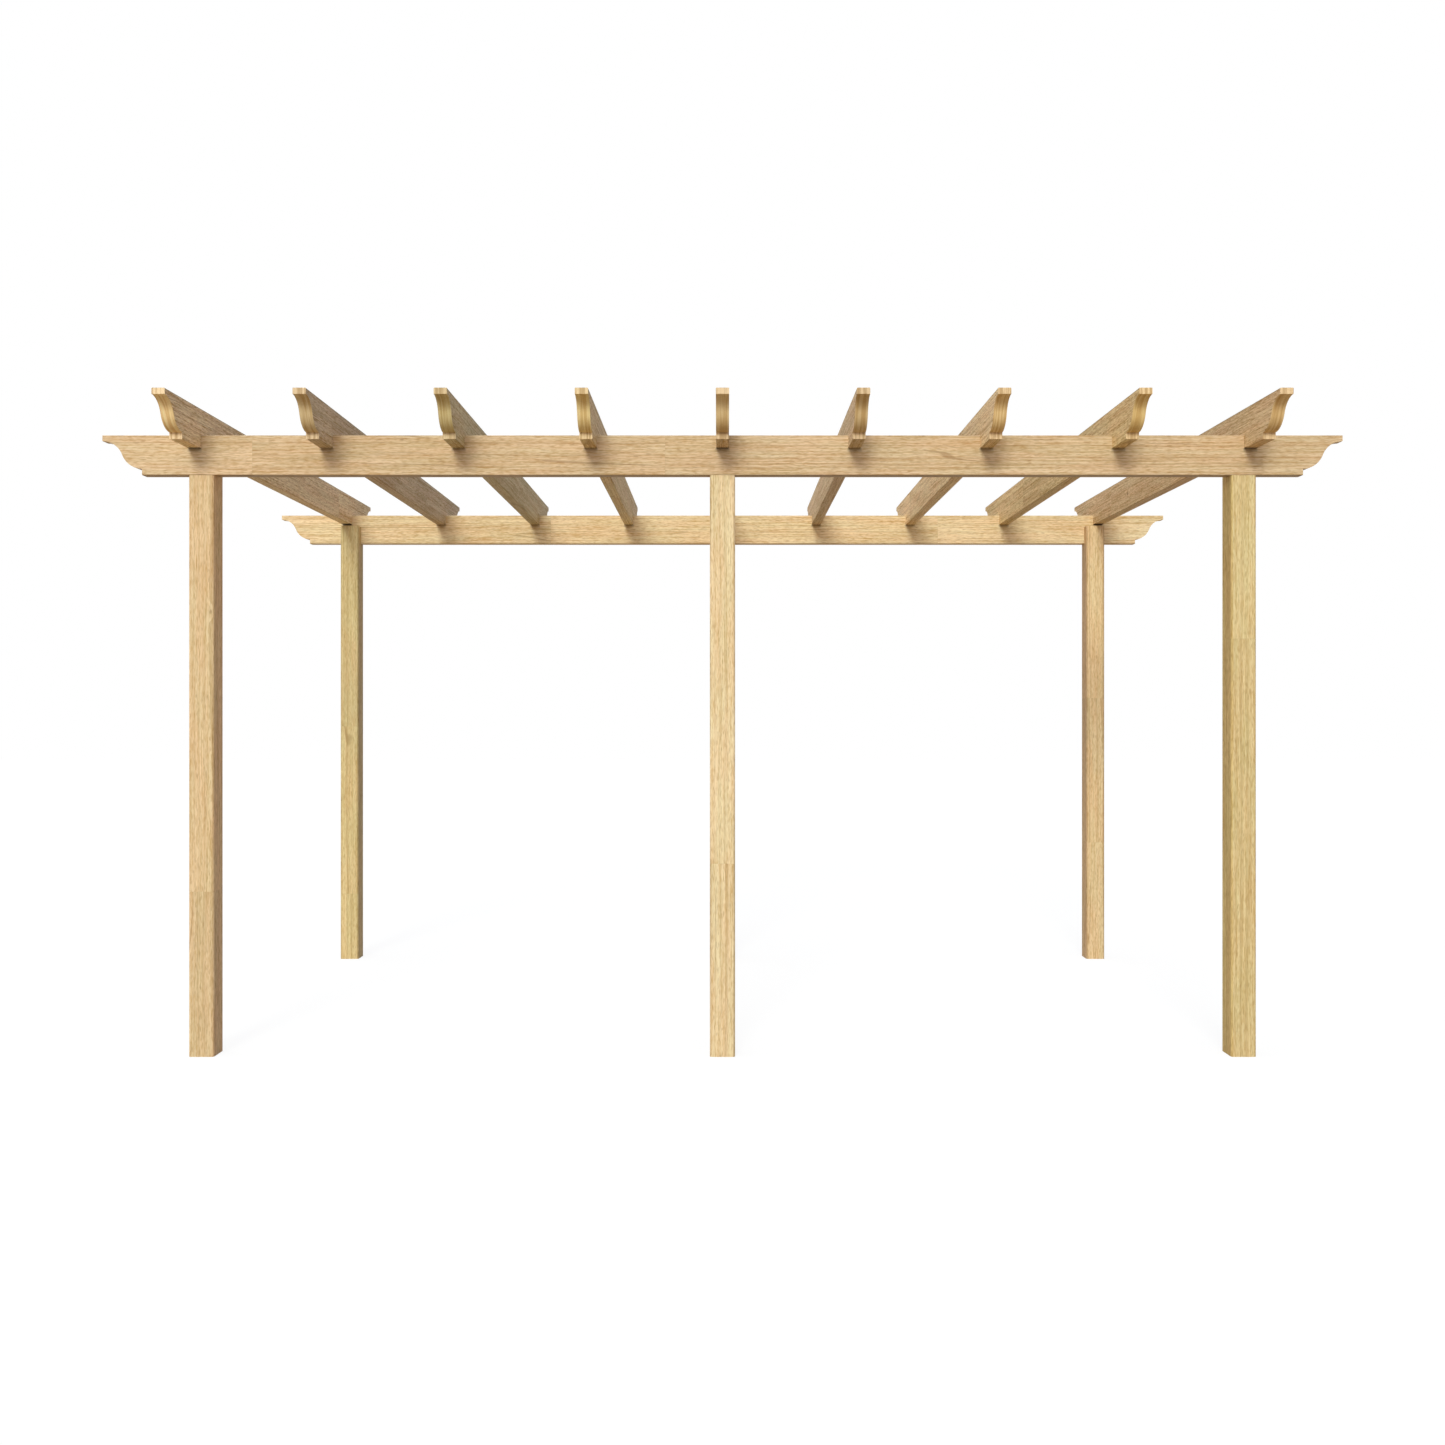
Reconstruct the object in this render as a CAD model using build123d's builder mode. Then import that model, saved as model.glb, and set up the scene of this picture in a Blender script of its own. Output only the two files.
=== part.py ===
from build123d import *
import os

os.makedirs("parts", exist_ok=True)

# Wooden pergola, open on all sides, in millimetres.
# X runs along the beams, Y from the front row of posts to the rear row, Z up.
# The origin is on the ground in the middle of the frame.

# Frame, measured over the outer faces of the posts
frame_width = 4020.0
frame_depth = 2054.0
headroom = 2190.0

# Posts, cut away at the top to house the beams, with a tongue left standing behind each beam
post_width = 95.0
post_edge_radius = 9.0
tongue_rise = 89.0

# Beams
beam_thickness = 47.0
beam_height = 150.0
beam_overhang = 324.0

# Rafters, notched over the beams
rafter_count = 9
rafter_thickness = 47.0
rafter_height = 150.0
rafter_overhang = 320.0
rafter_lap = 50.0

# Eased long edges of the planed stock for the beams and rafters
arris_radius = 3.0

# Ogee moulding cut under the ends of the beams and rafters
nose_height = 22.0
ogee_run = 149.0
ogee_drop = 104.0

# Play on each side of a beam in its joints
housing_play = 0.3
notch_play = 0.3

# Places that follow from the sizes
post_row_y = (frame_depth - post_width) / 2
beam_row_y = (frame_depth - beam_thickness) / 2
corner_post_x = (frame_width - post_width) / 2
beam_length = frame_width + 2 * beam_overhang
rafter_length = frame_depth + 2 * rafter_overhang
rafter_underside = headroom + beam_height - rafter_lap
first_rafter_x = -(frame_width - rafter_thickness) / 2
rafter_pitch = (frame_width - rafter_thickness) / (rafter_count - 1)
housing_depth = beam_thickness + housing_play
notch_width = beam_thickness + 2 * notch_play


def end_waste(length, height):
    """What is sawn away under both ends of a timber, its underside on the local X axis."""
    tip = length / 2
    foot = tip - ogee_run
    nose = height - nose_height
    middle = (tip - ogee_run / 2, nose - ogee_drop / 2)
    with BuildSketch() as waste:
        with BuildLine():
            cove = TangentArc((tip, nose), middle, tangent=(-1, 0))
            bulge = TangentArc(cove @ 1, (foot, nose - ogee_drop), tangent=cove % 1)
            Polyline(bulge @ 1, (foot, -height), (length, -height), (length, nose), cove @ 0)
        make_face()
        mirror(about=Plane.YZ)
    return waste.sketch


# Posts
for row, post_y, outward in (("front", -post_row_y, -1), ("rear", post_row_y, 1)):
    for place, post_x in (("left", -corner_post_x), ("centre", 0), ("right", corner_post_x)):
        with BuildPart() as post:
            with BuildSketch(Plane(origin=(post_x, post_y, 0))):
                RectangleRounded(post_width, post_width, post_edge_radius)
            extrude(amount=headroom + tongue_rise)
            # Housing for the beam, open to the outer side and the top
            with BuildSketch(Plane(origin=(post_x, post_y + outward * post_width / 2, headroom))):
                Rectangle(2 * post_width, 2 * housing_depth)
            extrude(amount=2 * tongue_rise, mode=Mode.SUBTRACT)
        post.part.label = f"post_{row}_{place}"
        export_step(post.part, f"parts/{post.part.label}.step")

# Beams
for row, beam_y in (("front", -beam_row_y), ("rear", beam_row_y)):
    with BuildPart() as beam:
        with BuildSketch(Plane(origin=(0, beam_y, headroom), x_dir=(0, 1, 0), z_dir=(1, 0, 0))):
            with Locations((0, beam_height / 2)):
                RectangleRounded(beam_thickness, beam_height, arris_radius)
        extrude(amount=beam_length / 2, both=True)
        with BuildSketch(Plane(origin=(0, beam_y, headroom), x_dir=(1, 0, 0), z_dir=(0, -1, 0))):
            add(end_waste(beam_length, beam_height))
        extrude(amount=beam_thickness, both=True, mode=Mode.SUBTRACT)
    beam.part.label = f"beam_{row}"
    export_step(beam.part, f"parts/{beam.part.label}.step")

# Rafters
for number in range(rafter_count):
    rafter_x = first_rafter_x + number * rafter_pitch
    with BuildPart() as rafter:
        with BuildSketch(Plane(origin=(rafter_x, 0, rafter_underside), x_dir=(1, 0, 0), z_dir=(0, -1, 0))):
            with Locations((0, rafter_height / 2)):
                RectangleRounded(rafter_thickness, rafter_height, arris_radius)
        extrude(amount=rafter_length / 2, both=True)
        with BuildSketch(Plane(origin=(rafter_x, 0, rafter_underside), x_dir=(0, 1, 0), z_dir=(1, 0, 0))):
            add(end_waste(rafter_length, rafter_height))
            # Notches over the two beams
            with Locations((-beam_row_y, 0), (beam_row_y, 0)):
                Rectangle(notch_width, 2 * rafter_lap)
        extrude(amount=rafter_thickness, both=True, mode=Mode.SUBTRACT)
    rafter.part.label = f"rafter_{number + 1}"
    export_step(rafter.part, f"parts/{rafter.part.label}.step")
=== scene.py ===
"""Dresses the wooden pergola: procedural timber, a pale floor, soft light and the camera."""

import math

import bpy
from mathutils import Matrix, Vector


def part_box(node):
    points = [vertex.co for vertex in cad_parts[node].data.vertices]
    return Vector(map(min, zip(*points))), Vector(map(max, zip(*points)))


bl_info = {
    "name": "Wooden Pergola",
    "version": (1, 0, 0),
    "blender": (4, 5, 0),
    "location": "3D View > Sidebar > Pergola",
    "description": "Gives a timber pergola its planed softwood finish, floor, light and camera",
    "category": "Object",
}

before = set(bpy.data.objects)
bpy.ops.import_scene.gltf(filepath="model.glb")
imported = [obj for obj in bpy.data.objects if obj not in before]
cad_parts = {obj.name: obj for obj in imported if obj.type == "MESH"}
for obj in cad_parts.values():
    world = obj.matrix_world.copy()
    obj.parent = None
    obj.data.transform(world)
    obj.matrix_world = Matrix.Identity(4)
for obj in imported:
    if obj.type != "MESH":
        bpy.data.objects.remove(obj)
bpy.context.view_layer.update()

# Which way the grain runs in each kind of timber, as the Mapping rotation that lays it along X
GRAIN_TURN = {
    "post": (0.0, math.radians(90), 0.0),
    "beam": (0.0, 0.0, 0.0),
    "rafter": (0.0, 0.0, math.radians(-90)),
}

# Which way the grain runs, and which way the broad side faces look
GRAIN_AXIS = {"post": (0.0, 0.0, 1.0), "beam": (1.0, 0.0, 0.0), "rafter": (0.0, 1.0, 0.0)}
SIDE_AXIS = {"post": (1.0, 0.0, 0.0), "beam": (0.0, 1.0, 0.0), "rafter": (1.0, 0.0, 0.0)}

# How strongly the lines in the grain stand out, against the look's own pale and dark wood
CONTRAST = {"post": 1.1, "beam": 1.42, "rafter": 1.8}

# How much more strongly the figure shows on the side faces
SIDE_FIGURE = {"post": 0.24, "beam": 0.0, "rafter": 0.16}

# How much of the painted shade on the arrises each kind shows: the posts' arrises are wide and show
# less
ARRIS_SHADE_SHARE = {"post": 0.5, "beam": 1.0, "rafter": 1.0}

# How much painted shade darkens a beam underneath
UNDERSIDE_SHADE = {"beam_front": 0.24, "beam_rear": 0.04}

# How far the moulding reaches in from the end of a beam or rafter
MOULDING_RUN = 0.149

# Where the heart of the tree lay from the middle of the timber, across it and up
HEART = {"post": (0.085, -0.07), "beam": (0.05, -0.17), "rafter": (0.14, -0.05)}

# A place past the end of every timber, for a joint or moulding that it does without
BEYOND = 9.0

# Tint of each timber, and the places along it where two lengths are finger-jointed
TIMBERS = {
    "post_front_left": ((0.91, 0.88, 0.88), (0.628, BEYOND)),
    "post_front_centre": ((1.01, 1.03, 1.07), (0.734, BEYOND)),
    "post_front_right": ((0.86, 0.88, 0.785), (1.581, BEYOND)),
    "post_rear_left": ((0.91, 0.93, 0.82), (1.231, 0.35)),
    "post_rear_centre": ((1.00, 1.01, 1.00), (0.95, 1.85)),
    "post_rear_right": ((1.00, 0.97, 0.95), (1.378, 0.62)),
    "beam_front": ((0.88, 0.83, 0.85), (-1.760, -0.206)),
    "beam_rear": ((1.05, 1.04, 1.07), (-0.90, 1.15)),
    "rafter_1": ((1.05, 1.03, 1.04), (-0.42, 0.75)),
    "rafter_2": ((0.73, 0.71, 0.73), (0.31, -0.88)),
    "rafter_3": ((0.69, 0.71, 0.65), (-0.15, 0.92)),
    "rafter_4": ((0.96, 0.96, 0.88), (0.55, -0.62)),
    "rafter_5": ((0.79, 0.76, 0.76), (-0.70, 0.20)),
    "rafter_6": ((0.76, 0.71, 0.68), (0.05, -0.95)),
    "rafter_7": ((0.99, 0.93, 0.87), (-0.33, 0.83)),
    "rafter_8": ((0.88, 0.82, 0.68), (0.44, -0.77)),
    "rafter_9": ((0.85, 0.77, 0.70), (-0.08, 0.66)),
}

# The side faces of some timbers are tinted apart from the rest of them, partly their own colour and
# partly painted light and shade for how the lamps fall on them: how their colour compares
SIDE_TINT_AND_SHADE = {
    "post_front_left": (1.09, 1.05, 1.02),
    "post_front_right": (0.985, 0.935, 0.77),
    "post_rear_left": (0.83, 0.82, 0.81),
    "post_rear_right": (0.83, 0.78, 0.76),
    "rafter_4": (0.82, 0.79, 0.76),
}

# Sawn ends differ less from timber to timber: the tint that they lean to, and how far
SAWN_TINT = (0.92, 0.90, 0.90)
SAWN_TINT_SHARE = 0.5

# Steps between the seeds of the timbers, and between those of the lengths in one timber
SEED_STEP = 37.3
LENGTH_SEED_STEP = 3.7

# How strongly the marks show, where the look has no setting for them
PORE_DEPTH = 0.35
KNOT_DEPTH = 0.75
END_STRIPE_DEPTH = 0.72
GLUE_LINE_DEPTH = 0.05

# How far the tone ranges from length to length, and over the fibres
LENGTH_TONE = 0.09
FIBRE_TONE = 0.3

# How dark the painted shade is in the corners round the crossings
UNDER_RAFTER_SHADE = 0.36
BESIDE_BEAM_SHADE = 0.45
SLOT_SHADE = 0.92
TOP_EDGE_SHADE = 0.45

# Relief and gloss of the surface
FIBRE_RELIEF = 0.6
PORE_RELIEF = 0.4
BUMP_STRENGTH = 0.5
LINE_ROUGHNESS = 0.16
SAWN_ROUGHNESS = 0.12
SPECULAR_LEVEL = 0.2

# The part of a noise's range over which a mark goes from none to full
NOISE_SPAN = (0.3, 0.7)

WHITE = (1.0, 1.0, 1.0)

# What the camera sees of the floor, and the lamps
FLOOR_GREY = (0.4, 0.4, 0.4)
FLOOR_GLOW = 1.45
LAMP_COLOURS = {"key": (0.97, 1.0, 0.90), "fill": (1.0, 0.96, 0.84)}
LAMP_DISTANCE = 8

# Where the rafters cross the beams
RAFTER_COUNT = sum(name.startswith("rafter_") for name in TIMBERS)
RAFTERS_OVER_POSTS = ("rafter_1", "rafter_5", "rafter_9")
RAFTER_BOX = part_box("rafter_5")
BEAM_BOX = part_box("beam_front")
CROSSINGS = {
    "Rafter Pitch": (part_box("rafter_9")[0].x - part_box("rafter_1")[0].x) / (RAFTER_COUNT - 1),
    "Half Thickness": (RAFTER_BOX[1].x - RAFTER_BOX[0].x) / 2,
    "Beam Row": -(BEAM_BOX[0].y + BEAM_BOX[1].y) / 2,
    "Rafter Underside": RAFTER_BOX[0].z,
    "Rafter Top": RAFTER_BOX[1].z,
}

# What is left of a post behind the beam that it houses
TONGUE_THICKNESS = (
    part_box("post_rear_left")[1].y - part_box("post_rear_left")[0].y - BEAM_BOX[1].y + BEAM_BOX[0].y
)

# Spacing of the nodes in a tree
COLUMN_WIDTH = 220
ROW_HEIGHT = 260


# Shader trees


def feed(tree, node, pairs):
    """Fills sockets of a new node with values or links. It stands right of what feeds it."""
    column = 0
    for socket, value in pairs:
        if isinstance(value, bpy.types.NodeSocket):
            tree.links.new(value, socket)
            column = max(column, int(value.node.location.x) // COLUMN_WIDTH + 1)
        else:
            socket.default_value = value
    columns = [int(other.location.x) // COLUMN_WIDTH for other in tree.nodes if other != node]
    node.location = (column * COLUMN_WIDTH, -columns.count(column) * ROW_HEIGHT)


def add_node(tree, kind, inputs=None, **settings):
    """Adds a node with its settings and its inputs, each a value or a link."""
    node = tree.nodes.new(kind)
    for name, value in settings.items():
        setattr(node, name, value)
    feed(tree, node, [(node.inputs[key], value) for key, value in (inputs or {}).items()])
    return node


def add_group(tree, group, inputs):
    """The outputs of a node that runs a shared group."""
    return add_node(tree, "ShaderNodeGroup", inputs, node_tree=group).outputs


def maths(tree, operation, *values, clamp=False):
    """The output of a Math node on up to three values."""
    inputs = dict(enumerate(values))
    node = add_node(tree, "ShaderNodeMath", inputs, operation=operation, use_clamp=clamp)
    return node.outputs["Value"]


def vector_maths(tree, operation, *values, output="Vector"):
    """An output of a Vector Math node."""
    node = add_node(tree, "ShaderNodeVectorMath", dict(enumerate(values)), operation=operation)
    return node.outputs[output]


def inverse(tree, value):
    """1 less the value."""
    return maths(tree, "SUBTRACT", 1.0, value)


def vector_of(tree, **parts):
    """The vector with these parts for X, Y and Z."""
    return add_node(tree, "ShaderNodeCombineXYZ", parts).outputs["Vector"]


def parts_of(tree, vector):
    """The X, Y and Z of a vector."""
    return add_node(tree, "ShaderNodeSeparateXYZ", {"Vector": vector}).outputs


def ease(tree, value, low, high, to_low=0.0, to_high=1.0):
    """The value taken smoothly from to_low at low to to_high at high."""
    inputs = {
        "Value": value,
        "From Min": low,
        "From Max": high,
        "To Min": to_low,
        "To Max": to_high,
    }
    node = add_node(tree, "ShaderNodeMapRange", inputs, interpolation_type="SMOOTHSTEP")
    return node.outputs["Result"]


def fade(tree, value, low, high):
    """1 up to low, falling smoothly to 0 at high."""
    return ease(tree, value, low, high, 1.0, 0.0)


def noise(tree, place, scale, detail=0.0, roughness=0.5):
    """The Noise node on a place, scaled by so many features a metre on each axis."""
    vector = vector_maths(tree, "MULTIPLY", place, scale)
    inputs = {"Vector": vector, "Scale": 1.0, "Detail": detail, "Roughness": roughness}
    return add_node(tree, "ShaderNodeTexNoise", inputs, noise_dimensions="3D")


def chance(tree, number):
    """From 0 to 1, a chance value that belongs to a number."""
    node = add_node(tree, "ShaderNodeTexWhiteNoise", {"W": number}, noise_dimensions="1D")
    return node.outputs["Value"]


def shifted_by_seed(tree, place, seed):
    """The place moved along the grain, so that each seed shows its own stretch of a board."""
    return vector_maths(tree, "ADD", place, vector_of(tree, X=seed))


def mix_colours(tree, factor, first, second):
    """The colour output of a Mix node on two colours, each three values or a link."""
    node = tree.nodes.new("ShaderNodeMix")
    node.data_type = "RGBA"
    colours = [
        colour if isinstance(colour, bpy.types.NodeSocket) else (*colour, 1.0)
        for colour in (first, second)
    ]
    # By number, because the node's number, vector and colour sockets share their names
    feed(tree, node, zip((node.inputs[0], node.inputs[6], node.inputs[7]), (factor, *colours)))
    return node.outputs[2]


def new_group(name, inputs, outputs):
    """A shader node group with inputs by default value. Its tree, inputs and output node."""
    tree = bpy.data.node_groups.new(name, "ShaderNodeTree")
    for label, value in inputs.items():
        kind = "NodeSocketVector" if isinstance(value, tuple) else "NodeSocketFloat"
        socket = tree.interface.new_socket(name=label, in_out="INPUT", socket_type=kind)
        socket.default_value = value
    for label in outputs:
        tree.interface.new_socket(name=label, in_out="OUTPUT", socket_type="NodeSocketFloat")
    start = tree.nodes.new("NodeGroupInput")
    end = tree.nodes.new("NodeGroupOutput")
    end.location = (18 * COLUMN_WIDTH, 0)
    return tree, start.outputs, end


def give(tree, end, results):
    """Links what a group has worked out to its output node."""
    for label, result in results.items():
        tree.links.new(result, end.inputs[label])


def finger_joint_group(name):
    """Splits a timber into up to three lengths at two finger joints."""
    tree, given, end = new_group(
        name,
        {
            "Place": (0.0, 0.0, 0.0),
            "First Joint": 0.0,
            "Second Joint": 1.0,
            "Finger Length": 0.010,
            "Finger Pitch": 0.0038,
            "Seed": 0.0,
        },
        ("Length Number", "Tone", "Glue Line"),
    )
    glue_reach = 0.0022
    split = parts_of(tree, given["Place"])
    # A metre is added so that the fingers repeat evenly on both sides of the middle
    teeth = maths(tree, "PINGPONG", maths(tree, "ADD", split["Y"], 1.0), given["Finger Pitch"])
    teeth = maths(tree, "DIVIDE", teeth, given["Finger Pitch"])
    along = maths(tree, "MULTIPLY_ADD", teeth, given["Finger Length"], split["X"])
    past_first = maths(tree, "GREATER_THAN", along, given["First Joint"])
    past_second = maths(tree, "GREATER_THAN", along, given["Second Joint"])
    signed = maths(tree, "MULTIPLY_ADD", past_second, 2.0, past_first)
    lines = []
    for joint in ("First Joint", "Second Joint"):
        gap = maths(tree, "ABSOLUTE", maths(tree, "SUBTRACT", along, given[joint]))
        lines.append(fade(tree, gap, 0.0, glue_reach))
    results = {
        "Length Number": maths(tree, "ADD", past_first, past_second),
        "Tone": chance(tree, maths(tree, "ADD", signed, given["Seed"])),
        "Glue Line": maths(tree, "MAXIMUM", *lines),
    }
    give(tree, end, results)
    return tree


def grain_group(name):
    """The figure of softwood on a place whose X runs along the grain, in metres."""
    tree, given, end = new_group(
        name,
        {
            "Place": (0.0, 0.0, 0.0),
            "Heart": (0.0, 0.1, -0.1),
            "Seed": 0.0,
            "Ring Width": 0.006,
            "Waviness": 0.010,
            "Line Length": 0.25,
            "Line Width": 0.006,
            "Tick Length": 0.03,
            "Tick Width": 0.004,
        },
        ("Rings", "Bands", "Lines", "Ticks", "Warmth", "Checks", "Fibres", "Pores", "Knots"),
    )
    seed = given["Seed"]
    place = shifted_by_seed(tree, given["Place"], seed)
    # The grain wanders on its way along the timber, slowly and in small waves
    slow = noise(tree, place, (1.3, 6.0, 6.0))
    quick = noise(tree, place, (9.0, 18.0, 18.0), 2.0, 0.6)
    drift = vector_maths(tree, "SUBTRACT", slow.outputs["Color"], (0.5, 0.5, 0.5))
    ripple = vector_maths(tree, "SUBTRACT", quick.outputs["Color"], (0.5, 0.5, 0.5))
    drift = vector_maths(tree, "MULTIPLY_ADD", ripple, (0.0, 0.3, 0.3), drift)
    sway = vector_of(tree, Y=given["Waviness"], Z=given["Waviness"])
    grain = vector_maths(tree, "MULTIPLY_ADD", drift, sway, place)
    # Pin knots, few and small, with the rings bulging round them
    knot_cells, knotless_share, ring_bulge = (5.0, 8.0, 8.0), 0.62, 1.1
    cells = add_node(
        tree,
        "ShaderNodeTexVoronoi",
        {"Vector": vector_maths(tree, "MULTIPLY", place, knot_cells), "Scale": 1.0},
        voronoi_dimensions="3D",
    ).outputs
    rare = add_node(tree, "ShaderNodeSeparateColor", {"Color": cells["Color"]}).outputs["Red"]
    rare = maths(tree, "GREATER_THAN", rare, knotless_share)
    bulge = maths(tree, "MULTIPLY", fade(tree, cells["Distance"], 0.0, 0.24), rare)
    knots = maths(tree, "MULTIPLY", fade(tree, cells["Distance"], 0.03, 0.075), rare)
    # Growth rings round the heart, late wood darker, each ring in its own strength
    from_heart = vector_maths(tree, "SUBTRACT", grain, given["Heart"])
    from_heart = vector_maths(tree, "MULTIPLY", from_heart, (0.0, 1.0, 1.0))
    radius = vector_maths(tree, "LENGTH", from_heart, output="Value")
    rings = maths(tree, "DIVIDE", radius, given["Ring Width"])
    rings = maths(tree, "MULTIPLY_ADD", bulge, ring_bulge, rings)
    within = maths(tree, "FRACT", rings)
    late = maths(tree, "MULTIPLY", ease(tree, within, 0.25, 0.86), fade(tree, within, 0.9, 1.0))
    own = chance(tree, maths(tree, "ADD", maths(tree, "FLOOR", rings), seed))
    strength = maths(tree, "POWER", own, 2.0)
    # Broad bands, lines and fibres drawn out along the grain
    bands = noise(tree, grain, (1.6, 22.0, 22.0), 2.0)
    drawn = {}
    for mark, detail in (("Line", 2.0), ("Tick", 1.0)):
        across = maths(tree, "DIVIDE", 1.0, given[f"{mark} Width"])
        along = maths(tree, "DIVIDE", 1.0, given[f"{mark} Length"])
        stretch = vector_of(tree, X=along, Y=across, Z=across)
        drawn[mark] = noise(tree, grain, stretch, detail, 0.62)
    fibres = noise(tree, place, (22.0, 560.0, 560.0), 1.0)
    pores = noise(tree, place, (38.0, 330.0, 330.0))
    warmth = noise(tree, grain, (3.5, 30.0, 30.0), 1.0)
    # Drying checks: hair cracks where a slow noise crosses its middle, only on some stretches
    crack = noise(tree, grain, (0.7, 13.0, 13.0))
    off_middle = maths(tree, "ABSOLUTE", maths(tree, "SUBTRACT", crack.outputs["Fac"], 0.5))
    hairline = fade(tree, off_middle, 0.004, 0.011)
    stretches = noise(tree, place, (2.2, 9.0, 9.0))
    cracked = ease(tree, stretches.outputs["Fac"], 0.58, 0.66)
    results = {
        "Rings": maths(tree, "MULTIPLY", late, strength),
        "Bands": bands.outputs["Fac"],
        "Lines": drawn["Line"].outputs["Fac"],
        "Ticks": drawn["Tick"].outputs["Fac"],
        "Warmth": warmth.outputs["Fac"],
        "Checks": maths(tree, "MULTIPLY", hairline, cracked),
        "Fibres": fibres.outputs["Fac"],
        "Pores": ease(tree, pores.outputs["Fac"], 0.62, 0.74),
        "Knots": knots,
    }
    give(tree, end, results)
    return tree


def end_grain_group(name):
    """Tells sawn ends, mouldings, sides and arrises apart, and draws the rings as stripes."""
    tree, given, end = new_group(
        name,
        {
            "Place": (0.0, 0.0, 0.0),
            "Grain Axis": (1.0, 0.0, 0.0),
            "Side Axis": (0.0, 1.0, 0.0),
            "Moulding Start": BEYOND,
            "Stripe Width": 0.011,
            "Seed": 0.0,
        },
        ("Sawn", "Moulding", "Side", "Underside", "Arris", "Stripes"),
    )
    normal = add_node(tree, "ShaderNodeNewGeometry").outputs["Normal"]
    # How squarely the face looks along the grain and to the side, from 0 to 1
    facing = []
    for axis in ("Grain Axis", "Side Axis"):
        dot = vector_maths(tree, "DOT_PRODUCT", normal, given[axis], output="Value")
        facing.append(maths(tree, "ABSOLUTE", dot))
    along_grain, sideways = facing
    sawn = ease(tree, along_grain, 0.955, 0.99)
    along = maths(tree, "ABSOLUTE", parts_of(tree, given["Place"])["X"])
    past = maths(tree, "GREATER_THAN", along, given["Moulding Start"])
    turned = parts_of(tree, normal)
    moulding = maths(tree, "MULTIPLY", past, fade(tree, sideways, 0.3, 0.7))
    moulding = maths(tree, "MULTIPLY", moulding, fade(tree, turned["Z"], 0.1, 0.4))
    moulding = maths(tree, "MULTIPLY", moulding, inverse(tree, sawn))
    across = maths(tree, "DIVIDE", 1.0, given["Stripe Width"])
    stretch = vector_of(tree, X=5.0, Y=across, Z=5.0)
    seeded = shifted_by_seed(tree, given["Place"], given["Seed"])
    stripes = noise(tree, seeded, stretch, 2.0, 0.6)
    # An arris faces none of the six ways that the planed faces do
    squarest = maths(tree, "ABSOLUTE", turned["X"])
    for axis in ("Y", "Z"):
        squarest = maths(tree, "MAXIMUM", squarest, maths(tree, "ABSOLUTE", turned[axis]))
    arris = fade(tree, squarest, 0.93, 0.995)
    results = {
        "Sawn": sawn,
        "Moulding": moulding,
        "Side": ease(tree, sideways, 0.15, 0.45),
        "Underside": fade(tree, turned["Z"], -0.95, -0.6),
        "Arris": maths(tree, "MULTIPLY", arris, inverse(tree, moulding)),
        "Stripes": ease(tree, stripes.outputs["Fac"], 0.4, 0.62),
    }
    give(tree, end, results)
    return tree


def crossing_group(name):
    """Painted shade: 1 in the dark corners where rafters sit over beams, and along the rafters' top
    edges.
    """
    tree, given, end = new_group(
        name,
        {
            "Place": (0.0, 0.0, 0.0),
            "Rafter Pitch": 0.5,
            "Half Thickness": 0.0235,
            "Beam Row": 1.0,
            "Rafter Underside": 2.29,
            "Rafter Top": 2.44,
            "Tongue Thickness": 0.0,
        },
        ("Under Rafters", "Beside Beams", "Top Edge"),
    )
    # How far the shade reaches under a rafter, past its sides and away from a beam, in metres
    reach_under, reach_past, reach_beside = 0.018, 0.006, 0.038
    # Times the thickness of a tongue, this is past 1, so the shade in the slot is full
    slot_gain = 34.0
    split = parts_of(tree, given["Place"])
    half_pitch = maths(tree, "MULTIPLY", given["Rafter Pitch"], 0.5)
    # A rafter stands over the middle of the beams, the others at every pitch to both sides
    to_rafter = maths(tree, "PINGPONG", maths(tree, "ABSOLUTE", split["X"]), half_pitch)
    to_rafter = maths(tree, "SUBTRACT", to_rafter, given["Half Thickness"])
    below = maths(tree, "SUBTRACT", given["Rafter Underside"], split["Z"])
    under = ease(tree, below, -0.003, 0.0)
    under = maths(tree, "MULTIPLY", under, fade(tree, below, 0.0, reach_under))
    under = maths(tree, "MULTIPLY", under, fade(tree, to_rafter, 0.0, reach_past))
    from_middle = maths(tree, "ABSOLUTE", split["Y"])
    to_beam = maths(tree, "SUBTRACT", from_middle, given["Beam Row"])
    to_beam = maths(tree, "SUBTRACT", maths(tree, "ABSOLUTE", to_beam), given["Half Thickness"])
    beside = fade(tree, to_beam, 0.0, reach_beside)
    # The tongue of a post under this rafter leaves a slot that hardly any light finds
    tongue = given["Tongue Thickness"]
    inner = maths(tree, "SUBTRACT", given["Beam Row"], from_middle)
    inner = maths(tree, "SUBTRACT", inner, given["Half Thickness"])
    to_slot = maths(tree, "ABSOLUTE", maths(tree, "MULTIPLY_ADD", tongue, -0.5, inner))
    to_slot = maths(tree, "MULTIPLY_ADD", tongue, -0.5, to_slot)
    slot = maths(tree, "MULTIPLY", fade(tree, to_slot, -0.004, 0.001), tongue)
    slot = maths(tree, "MULTIPLY", slot, slot_gain, clamp=True)
    beside = maths(tree, "MAXIMUM", beside, slot)
    to_top = maths(tree, "SUBTRACT", given["Rafter Top"], split["Z"])
    results = {
        "Under Rafters": under,
        "Beside Beams": maths(tree, "MULTIPLY", beside, ease(tree, below, -0.004, -0.001)),
        "Top Edge": fade(tree, to_top, 0.0015, 0.0055),
    }
    give(tree, end, results)
    return tree


GROUPS = {
    "Finger_Joints": finger_joint_group,
    "Timber_Grain": grain_group,
    "End_Grain": end_grain_group,
    "Crossing_Shade": crossing_group,
}


def shared_groups():
    """The shared node groups by name, made once."""
    return {name: bpy.data.node_groups.get(name) or make(name) for name, make in GROUPS.items()}


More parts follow.
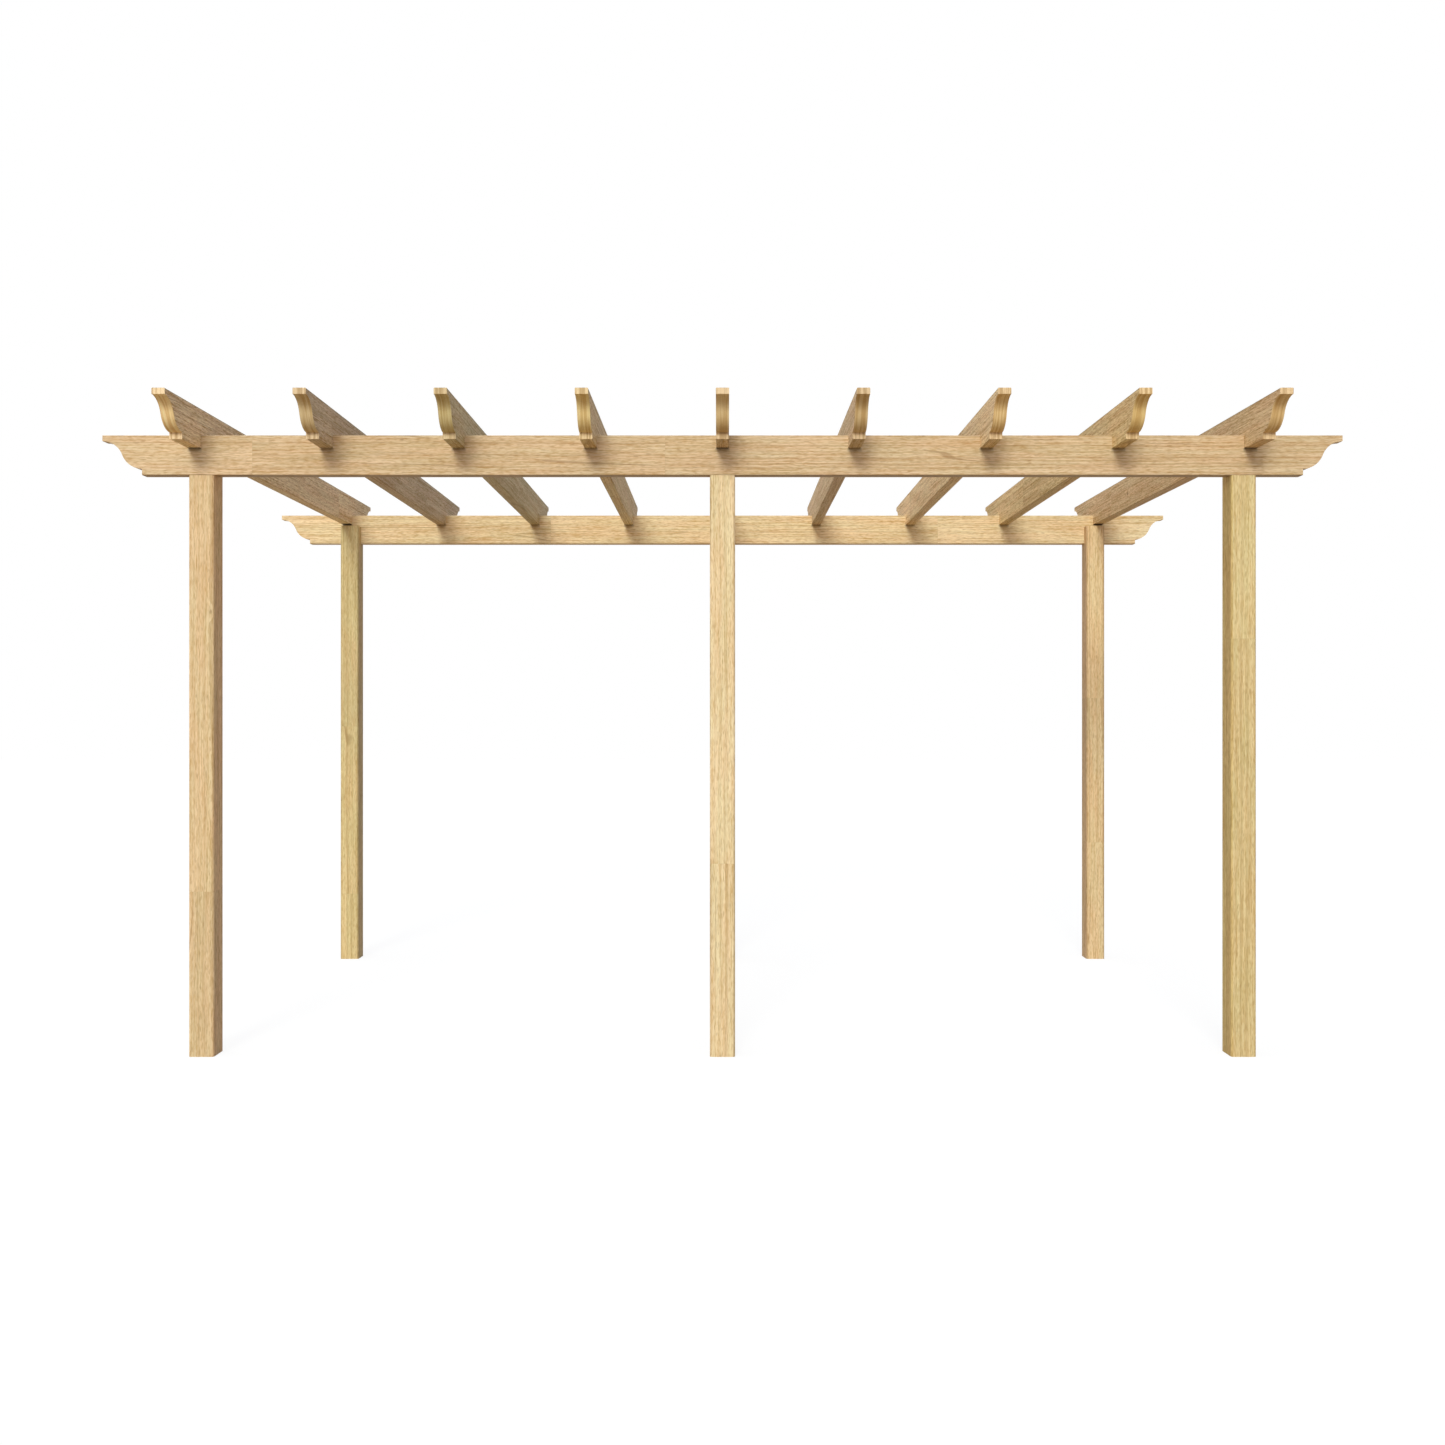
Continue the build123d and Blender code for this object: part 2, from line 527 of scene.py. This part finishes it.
def grain_place(tree, kind, centre, place):
    """The place with X along the grain, and Y and Z from the middle of the timber."""
    shift = {
        "post": (0.0, -centre.y, centre.x),
        "beam": (0.0, -centre.y, -centre.z),
        "rafter": (0.0, centre.x, -centre.z),
    }[kind]
    inputs = {"Vector": place, "Location": shift, "Rotation": GRAIN_TURN[kind]}
    return add_node(tree, "ShaderNodeMapping", inputs, vector_type="POINT").outputs["Vector"]


def grain_figure(tree, grain, look):
    """From 0 on pale wood to 1 on dark, made up of lines, broad bands and ticks."""
    span = (look.line_balance - look.line_softness, look.line_balance + look.line_softness)
    bands = ease(tree, grain["Bands"], *NOISE_SPAN)
    lines = ease(tree, grain["Lines"], *span)
    ticks = ease(tree, grain["Ticks"], *span)
    figure = maths(tree, "MULTIPLY", lines, 1.0 - look.band_share - look.tick_share)
    figure = maths(tree, "MULTIPLY_ADD", bands, look.band_share, figure)
    return maths(tree, "MULTIPLY_ADD", ticks, look.tick_share, figure)


def wood_colour(tree, kind, figure, grain, ends, look):
    """Colour of the wood before its tint and tone."""
    pale, dark = Vector(look.pale_wood), Vector(look.dark_wood)
    middle = (pale + dark) / 2
    reach = (pale - dark) / 2 * CONTRAST[kind]
    colour = mix_colours(tree, figure, middle + reach, middle - reach)
    for mark, depth, mark_colour in (
        ("Rings", look.ring_depth, look.late_wood),
        ("Pores", PORE_DEPTH, look.pore_colour),
        ("Knots", KNOT_DEPTH, look.knot_colour),
        ("Checks", look.check_depth, look.pore_colour),
    ):
        share = maths(tree, "MULTIPLY", grain[mark], depth)
        colour = mix_colours(tree, share, colour, mark_colour)
    warmth = ease(tree, grain["Warmth"], *NOISE_SPAN)
    cast = mix_colours(tree, warmth, look.cool_cast, look.warm_cast)
    colour = vector_maths(tree, "MULTIPLY", colour, cast)
    # The rings show as stripes on the mouldings and on the sawn ends
    striped = mix_colours(tree, ends["Stripes"], look.moulding_pale, look.moulding_dark)
    colour = mix_colours(tree, ends["Moulding"], colour, striped)
    end_stripes = maths(tree, "MULTIPLY", ends["Stripes"], END_STRIPE_DEPTH)
    end_colour = mix_colours(tree, end_stripes, look.end_wood, look.late_wood)
    return mix_colours(tree, ends["Sawn"], colour, end_colour)


def crossing_shade(tree, name, kind, place, ends, group):
    """How dark the painted shade in the corners at the crossings and on the top edges is on a beam
    or rafter.
    """
    over_post = name in RAFTERS_OVER_POSTS
    inputs = {"Place": place, "Tongue Thickness": TONGUE_THICKNESS if over_post else 0.0}
    corners = add_group(tree, group, {**inputs, **CROSSINGS})
    if kind == "beam":
        return maths(tree, "MULTIPLY", corners["Under Rafters"], UNDER_RAFTER_SHADE)
    depth = SLOT_SHADE if over_post else BESIDE_BEAM_SHADE
    shade = maths(tree, "MULTIPLY", corners["Beside Beams"], depth)
    top_edge = maths(tree, "MULTIPLY", corners["Top Edge"], ends["Side"])
    top_edge = maths(tree, "MULTIPLY", top_edge, TOP_EDGE_SHADE)
    return maths(tree, "MAXIMUM", shade, top_edge)


def timber_material(name, kind, low, high, look, groups):
    """Planed softwood for one timber, in its own tint, with its own figure."""
    tint, joints = TIMBERS[name]
    seed = SEED_STEP * (1 + sorted(TIMBERS).index(name))
    material = bpy.data.materials.new(f"{name}_planed_softwood")
    material.use_nodes = True
    tree = material.node_tree
    tree.nodes.clear()
    object_place = add_node(tree, "ShaderNodeTexCoord").outputs["Object"]
    place = grain_place(tree, kind, (low + high) / 2, object_place)
    jointing = add_group(
        tree,
        groups["Finger_Joints"],
        {"Place": place, "First Joint": min(joints), "Second Joint": max(joints), "Seed": seed},
    )
    grain = add_group(
        tree,
        groups["Timber_Grain"],
        {
            "Place": place,
            "Heart": (0.0, *HEART[kind]),
            "Seed": maths(
                tree, "MULTIPLY_ADD", jointing["Length Number"], LENGTH_SEED_STEP, seed
            ),
            "Ring Width": look.ring_width,
            "Waviness": look.waviness,
            "Line Length": look.line_length,
            "Line Width": look.line_width,
            "Tick Length": look.tick_length,
            "Tick Width": look.tick_width,
        },
    )
    # Only beams and rafters are moulded, at both ends
    moulding_start = {
        "post": BEYOND,
        "beam": high.x - MOULDING_RUN,
        "rafter": high.y - MOULDING_RUN,
    }[kind]
    ends = add_group(
        tree,
        groups["End_Grain"],
        {
            "Place": place,
            "Grain Axis": GRAIN_AXIS[kind],
            "Side Axis": SIDE_AXIS[kind],
            "Moulding Start": moulding_start,
            "Stripe Width": look.stripe_width,
            "Seed": seed,
        },
    )
    figure = grain_figure(tree, grain, look)
    colour = wood_colour(tree, kind, figure, grain, ends, look)
    tone = maths(tree, "MULTIPLY_ADD", jointing["Tone"], LENGTH_TONE, 1.0 - LENGTH_TONE / 2)
    tone = maths(tree, "MULTIPLY_ADD", jointing["Glue Line"], -GLUE_LINE_DEPTH, tone)
    tone = maths(tree, "SUBTRACT", tone, FIBRE_TONE / 2)
    tone = maths(tree, "MULTIPLY_ADD", grain["Fibres"], FIBRE_TONE, tone)
    # Some side faces show their figure more strongly
    side_figure = maths(tree, "MULTIPLY", maths(tree, "SUBTRACT", 0.5, figure), ends["Side"])
    tone = maths(tree, "MULTIPLY_ADD", side_figure, SIDE_FIGURE[kind], tone)
    # Painted shade darkens the arrises, and a beam gets painted shade underneath
    painted_arris_shade = maths(tree, "MULTIPLY", ends["Arris"], look.arris_shade * ARRIS_SHADE_SHARE[kind])
    tone = maths(tree, "MULTIPLY", tone, inverse(tree, painted_arris_shade))
    if kind == "beam":
        under = maths(tree, "MULTIPLY_ADD", ends["Underside"], -UNDERSIDE_SHADE[name], 1.0)
        tone = maths(tree, "MULTIPLY", tone, under)
    if kind != "post":
        shade = crossing_shade(tree, name, kind, object_place, ends, groups["Crossing_Shade"])
        tone = maths(tree, "MULTIPLY", tone, inverse(tree, shade))
    sawn_share = maths(tree, "MULTIPLY", ends["Sawn"], SAWN_TINT_SHARE)
    toned = vector_maths(tree, "MULTIPLY", colour, mix_colours(tree, sawn_share, tint, SAWN_TINT))
    # Painted light and shade on the side faces of some timbers, over their own colour
    if name in SIDE_TINT_AND_SHADE:
        side_tint_and_shade = mix_colours(tree, ends["Side"], WHITE, SIDE_TINT_AND_SHADE[name])
        toned = vector_maths(tree, "MULTIPLY", toned, side_tint_and_shade)
    scaled = add_node(
        tree, "ShaderNodeVectorMath", {0: toned, "Scale": tone}, operation="SCALE"
    ).outputs["Vector"]
    # Fibres and pores stand out only on the planed faces
    height = maths(tree, "MULTIPLY", grain["Fibres"], FIBRE_RELIEF)
    height = maths(tree, "MULTIPLY_ADD", grain["Pores"], -PORE_RELIEF, height)
    cut = maths(tree, "MAXIMUM", ends["Sawn"], ends["Moulding"])
    height = maths(tree, "MULTIPLY", height, inverse(tree, cut))
    bump = add_node(
        tree,
        "ShaderNodeBump",
        {"Height": height, "Strength": BUMP_STRENGTH, "Distance": look.relief},
    )
    lowest = look.roughness - LINE_ROUGHNESS / 2
    roughness = maths(tree, "MULTIPLY_ADD", grain["Lines"], LINE_ROUGHNESS, lowest)
    roughness = maths(tree, "MULTIPLY_ADD", ends["Sawn"], SAWN_ROUGHNESS, roughness)
    shader = add_node(
        tree,
        "ShaderNodeBsdfPrincipled",
        {
            "Base Color": scaled,
            "Roughness": roughness,
            "Normal": bump.outputs["Normal"],
            "Specular IOR Level": SPECULAR_LEVEL,
        },
    )
    add_node(tree, "ShaderNodeOutputMaterial", {"Surface": shader.outputs["BSDF"]})
    return material


# Settings that a user would change


class TimberLook(bpy.types.PropertyGroup):
    """How the timber looks"""

    pale_wood: bpy.props.FloatVectorProperty(
        name="Pale wood",
        description="Early wood between the lines",
        subtype="COLOR",
        min=0.0,
        max=1.0,
        default=(0.865, 0.69, 0.43),
    )
    dark_wood: bpy.props.FloatVectorProperty(
        name="Dark wood",
        description="Lines along the grain",
        subtype="COLOR",
        min=0.0,
        max=1.0,
        default=(0.60, 0.39, 0.165),
    )
    late_wood: bpy.props.FloatVectorProperty(
        name="Late wood",
        description="Dark side of the growth rings",
        subtype="COLOR",
        min=0.0,
        max=1.0,
        default=(0.50, 0.32, 0.14),
    )
    end_wood: bpy.props.FloatVectorProperty(
        name="End grain",
        description="Wood where the saw cut across the grain",
        subtype="COLOR",
        min=0.0,
        max=1.0,
        default=(0.945, 0.735, 0.465),
    )
    moulding_pale: bpy.props.FloatVectorProperty(
        name="Pale moulding stripes",
        description="Wood between the rings where the moulding cuts them",
        subtype="COLOR",
        min=0.0,
        max=1.0,
        default=(1.0, 0.80, 0.455),
    )
    moulding_dark: bpy.props.FloatVectorProperty(
        name="Dark moulding stripes",
        description="Rings where the moulding cuts them",
        subtype="COLOR",
        min=0.0,
        max=1.0,
        default=(0.80, 0.555, 0.255),
    )
    stripe_width: bpy.props.FloatProperty(
        name="Stripe width",
        description="Usual width of a ring on the ends",
        default=0.0085,
        min=0.001,
        unit="LENGTH",
    )
    pore_colour: bpy.props.FloatVectorProperty(
        name="Pores",
        description="Short dark dashes in the planed face",
        subtype="COLOR",
        min=0.0,
        max=1.0,
        default=(0.40, 0.24, 0.10),
    )
    knot_colour: bpy.props.FloatVectorProperty(
        name="Pin knots",
        description="Small knots",
        subtype="COLOR",
        min=0.0,
        max=1.0,
        default=(0.34, 0.19, 0.08),
    )
    cool_cast: bpy.props.FloatVectorProperty(
        name="Cool patches",
        description="Cast of the cooler wood",
        subtype="COLOR",
        default=(0.978, 1.007, 1.0),
    )
    warm_cast: bpy.props.FloatVectorProperty(
        name="Warm patches",
        description="Cast of the warmer wood",
        subtype="COLOR",
        default=(1.022, 0.991, 0.988),
    )
    check_depth: bpy.props.FloatProperty(
        name="Drying checks",
        description="How dark the hair cracks are",
        default=0.55,
        min=0.0,
        max=1.0,
        subtype="FACTOR",
    )
    ring_width: bpy.props.FloatProperty(
        name="Ring width",
        description="Growth in one year",
        default=0.0105,
        min=0.001,
        unit="LENGTH",
    )
    ring_depth: bpy.props.FloatProperty(
        name="Ring depth",
        description="How dark the late wood is",
        default=0.5,
        min=0.0,
        max=1.0,
        subtype="FACTOR",
    )
    waviness: bpy.props.FloatProperty(
        name="Waviness",
        description="How far the grain wanders",
        default=0.012,
        min=0.0,
        unit="LENGTH",
    )
    line_length: bpy.props.FloatProperty(
        name="Line length",
        description="Usual length of a line in the grain",
        default=0.30,
        min=0.001,
        unit="LENGTH",
    )
    line_width: bpy.props.FloatProperty(
        name="Line width",
        description="Usual width of a line in the grain",
        default=0.0058,
        min=0.0005,
        unit="LENGTH",
    )
    tick_length: bpy.props.FloatProperty(
        name="Tick length",
        description="Usual length of a short mark",
        default=0.028,
        min=0.001,
        unit="LENGTH",
    )
    tick_width: bpy.props.FloatProperty(
        name="Tick width",
        description="Usual width of a short mark",
        default=0.0042,
        min=0.0005,
        unit="LENGTH",
    )
    tick_share: bpy.props.FloatProperty(
        name="Ticks",
        description="Share of the figure that lies in short marks",
        default=0.4,
        min=0.0,
        max=1.0,
    )
    line_softness: bpy.props.FloatProperty(
        name="Line softness",
        description="How gently pale wood turns to dark",
        default=0.15,
        min=0.01,
        max=0.5,
    )
    line_balance: bpy.props.FloatProperty(
        name="Pale share",
        description="More pale wood between the lines when higher",
        default=0.55,
        min=0.2,
        max=0.8,
    )
    band_share: bpy.props.FloatProperty(
        name="Broad bands",
        description="Share of the figure that lies in broad bands",
        default=0.15,
        min=0.0,
        max=1.0,
    )
    roughness: bpy.props.FloatProperty(
        name="Roughness",
        description="Of the planed faces",
        default=0.62,
        min=0.0,
        max=1.0,
        subtype="FACTOR",
    )
    # Painted shade on the eased edges, standing in for light that hardly reaches them
    arris_shade: bpy.props.FloatProperty(
        name="Arris shade",
        description="How dark the painted shade on the eased edges is",
        default=0.15,
        min=0.0,
        max=1.0,
    )
    relief: bpy.props.FloatProperty(
        name="Relief",
        description="Height of the grain in the planed faces",
        default=0.0006,
        min=0.0,
        unit="LENGTH",
    )


class StageLook(bpy.types.PropertyGroup):
    """Floor, light and camera"""

    floor_size: bpy.props.FloatProperty(
        name="Floor size",
        description="Side of the floor",
        default=60.0,
        min=1.0,
        unit="LENGTH",
    )
    floor_colour: bpy.props.FloatVectorProperty(
        name="Floor",
        description="Floor as the timber sees it",
        subtype="COLOR",
        default=(0.365, 0.265, 0.145),
    )
    floor_white: bpy.props.FloatProperty(
        name="White floor",
        description="How far the camera sees the floor white",
        default=0.6,
        min=0.0,
        max=1.0,
    )
    sky_colour: bpy.props.FloatVectorProperty(
        name="Soft light",
        description="Light from all round",
        subtype="COLOR",
        default=(0.225, 0.26, 0.365),
    )
    key_strength: bpy.props.FloatProperty(
        name="Key light",
        description="Strength of the front lamp",
        default=1.66,
        min=0.0,
    )
    key_height: bpy.props.FloatProperty(
        name="Key height",
        description="Angle of the front lamp above the floor",
        default=math.radians(26),
        subtype="ANGLE",
    )
    key_side: bpy.props.FloatProperty(
        name="Key side",
        description="Angle of the front lamp left of the camera",
        default=math.radians(9),
        subtype="ANGLE",
    )
    key_softness: bpy.props.FloatProperty(
        name="Key softness",
        description="Angle that the front lamp fills",
        default=math.radians(17),
        subtype="ANGLE",
    )
    fill_strength: bpy.props.FloatProperty(
        name="Fill light",
        description="Strength of the large soft lamp",
        default=1.90,
        min=0.0,
    )
    fill_height: bpy.props.FloatProperty(
        name="Fill height",
        description="Angle of the soft lamp above the floor",
        default=math.radians(46),
        subtype="ANGLE",
    )
    fill_side: bpy.props.FloatProperty(
        name="Fill side",
        description="Angle of the soft lamp left of the camera",
        default=math.radians(40),
        subtype="ANGLE",
    )
    fill_softness: bpy.props.FloatProperty(
        name="Fill softness",
        description="Angle that the soft lamp fills",
        default=math.radians(136),
        subtype="ANGLE",
    )
    camera_distance: bpy.props.FloatProperty(
        name="Camera distance",
        description="From the middle of the frame",
        default=5.953,
        unit="LENGTH",
    )
    camera_height: bpy.props.FloatProperty(
        name="Camera height",
        description="Above the floor",
        default=1.2967,
        unit="LENGTH",
    )
    camera_lens: bpy.props.FloatProperty(
        name="Lens",
        description="Focal length in millimetres on a 36 mm sensor",
        default=32.607,
    )
    camera_rise: bpy.props.FloatProperty(
        name="Lens rise",
        description="Vertical shift as a share of the picture",
        default=-0.00696,
    )


# Pieces


def finish_timbers(kind, context):
    """Gives every timber of a kind its own material."""
    look = context.scene.pergola_timber
    groups = shared_groups()
    nodes = {name: node for name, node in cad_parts.items() if name.split("_")[0] == kind}
    if not nodes:
        raise RuntimeError(f"the frame has no {kind}")
    for name, node in sorted(nodes.items()):
        low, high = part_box(name)
        material = timber_material(name, kind, low, high, look, groups)
        node.data.materials.clear()
        node.data.materials.append(material)


class PERGOLA_OT_posts(bpy.types.Operator):
    """Finish the six posts"""

    bl_idname = "pergola.posts"
    bl_label = "Posts"

    def execute(self, context):
        finish_timbers("post", context)
        return {"FINISHED"}


class PERGOLA_OT_beams(bpy.types.Operator):
    """Finish the two beams"""

    bl_idname = "pergola.beams"
    bl_label = "Beams"

    def execute(self, context):
        finish_timbers("beam", context)
        return {"FINISHED"}


class PERGOLA_OT_rafters(bpy.types.Operator):
    """Finish the rafters"""

    bl_idname = "pergola.rafters"
    bl_label = "Rafters"

    def execute(self, context):
        finish_timbers("rafter", context)
        return {"FINISHED"}


def seen_directly(tree):
    """1 for what the camera sees straight, in gloss or through glass, 0 for other light."""
    path = add_node(tree, "ShaderNodeLightPath")
    seen = maths(tree, "MAXIMUM", path.outputs["Is Camera Ray"], path.outputs["Is Glossy Ray"])
    return maths(tree, "MAXIMUM", seen, path.outputs["Is Transmission Ray"])


class PERGOLA_OT_stage(bpy.types.Operator):
    """Lay the floor, light it and set up the camera"""

    bl_idname = "pergola.stage"
    bl_label = "Floor, light and camera"

    def execute(self, context):
        look = context.scene.pergola_stage
        scene = context.scene
        self.lay_floor(scene, look)
        self.set_light(scene, look)
        self.set_camera(scene, look)
        scene.view_settings.view_transform = "Standard"
        return {"FINISHED"}

    def lay_floor(self, scene, look):
        half = look.floor_size / 2
        mesh = bpy.data.meshes.new("floor")
        corners = [(-half, -half, 0), (half, -half, 0), (half, half, 0), (-half, half, 0)]
        mesh.from_pydata(corners, [], [(0, 1, 2, 3)])
        floor = bpy.data.objects.new("floor", mesh)
        scene.collection.objects.link(floor)
        material = bpy.data.materials.new("pale_floor")
        material.use_nodes = True
        tree = material.node_tree
        tree.nodes.clear()
        seen = seen_directly(tree)
        colour = mix_colours(tree, seen, look.floor_colour, FLOOR_GREY)
        matt = add_node(tree, "ShaderNodeBsdfDiffuse", {"Color": colour})
        white = add_node(tree, "ShaderNodeEmission", {"Strength": FLOOR_GLOW})
        share = maths(tree, "MULTIPLY", seen, look.floor_white)
        both = add_node(
            tree,
            "ShaderNodeMixShader",
            {0: share, 1: matt.outputs["BSDF"], 2: white.outputs["Emission"]},
        )
        add_node(tree, "ShaderNodeOutputMaterial", {"Surface": both.outputs["Shader"]})
        mesh.materials.append(material)

    def set_light(self, scene, look):
        world = bpy.data.worlds.new("soft_room")
        scene.world = world
        world.use_nodes = True
        tree = world.node_tree
        tree.nodes.clear()
        sky = mix_colours(tree, seen_directly(tree), look.sky_colour, WHITE)
        background = add_node(tree, "ShaderNodeBackground", {"Color": sky, "Strength": 1.0})
        add_node(tree, "ShaderNodeOutputWorld", {"Surface": background.outputs["Background"]})
        for name, colour in LAMP_COLOURS.items():
            lamp = bpy.data.lights.new(f"{name}_light", "SUN")
            lamp.energy = getattr(look, f"{name}_strength")
            lamp.color = colour
            lamp.angle = getattr(look, f"{name}_softness")
            light = bpy.data.objects.new(f"{name}_light", lamp)
            scene.collection.objects.link(light)
            height = getattr(look, f"{name}_height")
            side = getattr(look, f"{name}_side")
            level = math.cos(height)
            towards = Vector((-math.sin(side) * level, -math.cos(side) * level, math.sin(height)))
            light.location = towards * LAMP_DISTANCE
            light.rotation_euler = towards.to_track_quat("Z", "Y").to_euler()

    def set_camera(self, scene, look):
        lens = bpy.data.cameras.new("camera")
        lens.sensor_width = 36.0
        lens.lens = look.camera_lens
        lens.shift_y = look.camera_rise
        camera = bpy.data.objects.new("camera", lens)
        camera.location = (0.0, -look.camera_distance, look.camera_height)
        camera.rotation_euler = (math.radians(90), 0.0, 0.0)
        scene.collection.objects.link(camera)
        scene.camera = camera


class PERGOLA_PT_panel(bpy.types.Panel):
    """Lists what the pergola is made and shown with"""

    bl_label = "Wooden pergola"
    bl_idname = "PERGOLA_PT_panel"
    bl_space_type = "VIEW_3D"
    bl_region_type = "UI"
    bl_category = "Pergola"

    def draw(self, context):
        layout, scene = self.layout, context.scene
        for operator in (PERGOLA_OT_posts, PERGOLA_OT_beams, PERGOLA_OT_rafters, PERGOLA_OT_stage):
            layout.operator(operator.bl_idname)
        for title, group in (("Timber", scene.pergola_timber), ("Stage", scene.pergola_stage)):
            box = layout.box()
            box.label(text=title)
            for name in group.__annotations__:
                box.prop(group, name)


CLASSES = (
    TimberLook,
    StageLook,
    PERGOLA_OT_posts,
    PERGOLA_OT_beams,
    PERGOLA_OT_rafters,
    PERGOLA_OT_stage,
    PERGOLA_PT_panel,
)


def register():
    for cls in CLASSES:
        bpy.utils.register_class(cls)
    bpy.types.Scene.pergola_timber = bpy.props.PointerProperty(type=TimberLook)
    bpy.types.Scene.pergola_stage = bpy.props.PointerProperty(type=StageLook)


def unregister():
    del bpy.types.Scene.pergola_stage
    del bpy.types.Scene.pergola_timber
    for cls in reversed(CLASSES):
        bpy.utils.unregister_class(cls)


def main():
    register()
    bpy.ops.pergola.posts()
    bpy.ops.pergola.beams()
    bpy.ops.pergola.rafters()
    bpy.ops.pergola.stage()


if __name__ == "__main__":
    main()
